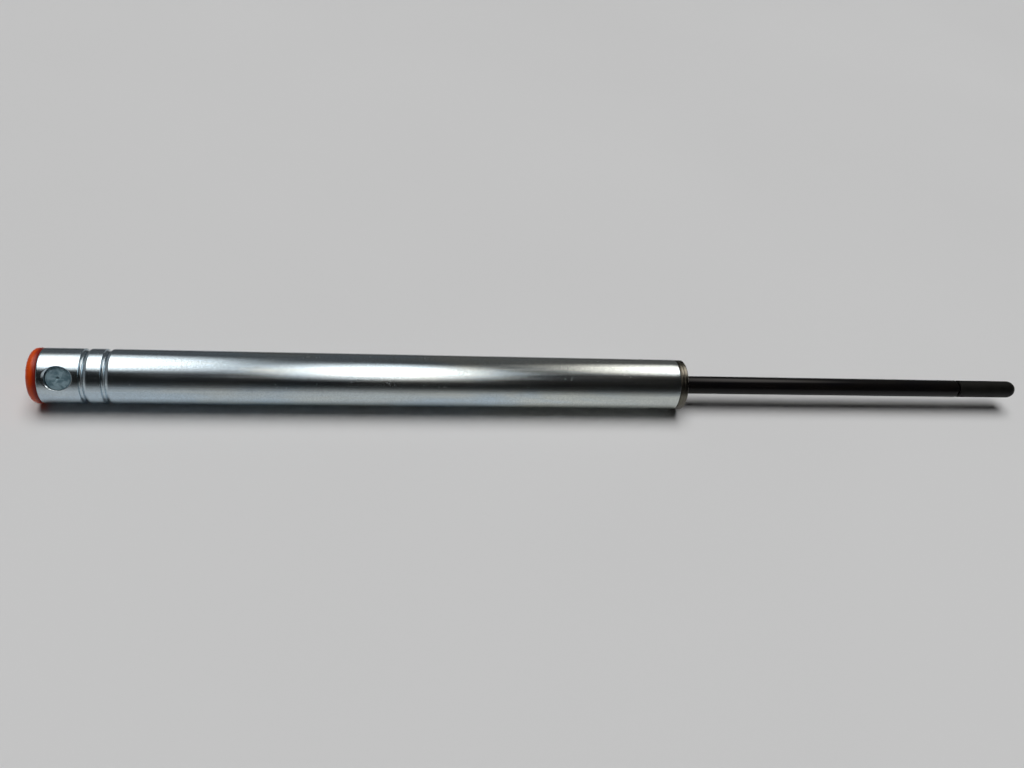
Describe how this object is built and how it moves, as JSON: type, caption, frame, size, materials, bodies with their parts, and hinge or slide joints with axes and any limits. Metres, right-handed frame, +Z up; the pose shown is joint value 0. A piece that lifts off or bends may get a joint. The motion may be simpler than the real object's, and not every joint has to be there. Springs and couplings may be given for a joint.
{
  "type": "gas-charged hydraulic strut",
  "caption": "Sealed one-stage gas-charged hydraulic strut: a zinc-plated tube with rolled grooves, a side port and an orange end cap, and a black rod that slides out of a screwed gland.",
  "frame": {"origin": "centre of the end cap's flat outer face, on the strut's axis", "axes": "+X along the strut towards the rod's tip, +Z up as it lies on a surface; the side port faces -Y and up, 50 degrees from +Z"},
  "size_m": [0.5496, 0.0278, 0.0278],
  "materials": {
    "zinc_plated_steel": "bright zinc plate, drawn tube with fine lengthwise scratches",
    "orange_plastic": "glossy moulded",
    "machined_steel": "turned, lightly oiled",
    "black_nitrided_steel": "black nitrided and polished",
    "black_plastic": "matte moulded",
    "seal_rubber": "matte moulded",
    "bearing_polymer": "filled polymer, satin",
    "bumper_polymer": "cast elastomer, satin",
    "bronze": "machined",
    "aluminium": "turned"
  },
  "bodies": {
    "barrel": {"cylinder_tube": "zinc_plated_steel", "end_cap": "orange_plastic", "end_plug": "machined_steel", "end_plug_o_ring": "seal_rubber", "end_plug_backup_ring": "bearing_polymer", "port_plug": "zinc_plated_steel", "port_seal_ring": "bronze", "gland_head": "machined_steel", "gland_o_ring": "seal_rubber", "gland_backup_ring": "bearing_polymer", "gland_snap_ring": "machined_steel", "rod_guide_bush": "bronze", "rod_seal": "seal_rubber", "rod_wiper": "seal_rubber", "seal_washer": "machined_steel"},
    "ring_carrier": {"piston_ring": "bearing_polymer"},
    "rod": {"piston_rod": "black_nitrided_steel", "rod_end_cap": "black_plastic", "piston": "machined_steel", "piston_ring_energizer": "seal_rubber", "bumper_seat": "machined_steel", "rebound_bumper": "bumper_polymer", "check_spring": "machined_steel", "damping_shim": "machined_steel", "piston_washer": "machined_steel", "piston_nut": "zinc_plated_steel"},
    "check_valve": {"check_plate": "machined_steel"},
    "separator": {"separator_piston": "aluminium", "separator_o_ring": "seal_rubber", "separator_guide_tail": "bearing_polymer", "separator_guide_rod": "bearing_polymer"}
  },
  "joints": [
    {"name": "rod_slide", "type": "slide", "parent": "barrel", "child": "ring_carrier", "axis": [1, 0, 0], "range_m": [-0.16, 0], "stiffness_N_per_m": 40, "springref_m": 0.25},
    {"name": "rod_spin", "type": "hinge", "parent": "ring_carrier", "child": "rod", "pos_m": [0.2901, 0, 0], "axis": [1, 0, 0], "continuous": true},
    {"name": "check_lift", "type": "slide", "parent": "rod", "child": "check_valve", "axis": [1, 0, 0], "range_m": [0, 0.0005], "stiffness_N_per_m": 100, "springref_m": -0.001},
    {"name": "separator_slide", "type": "slide", "parent": "barrel", "child": "separator", "axis": [1, 0, 0], "range_m": [-0.028, 0]}
  ],
  "couplings": [
    {"joint": "separator_slide", "follows": "rod_slide", "ratio": 0.17361}
  ]
}
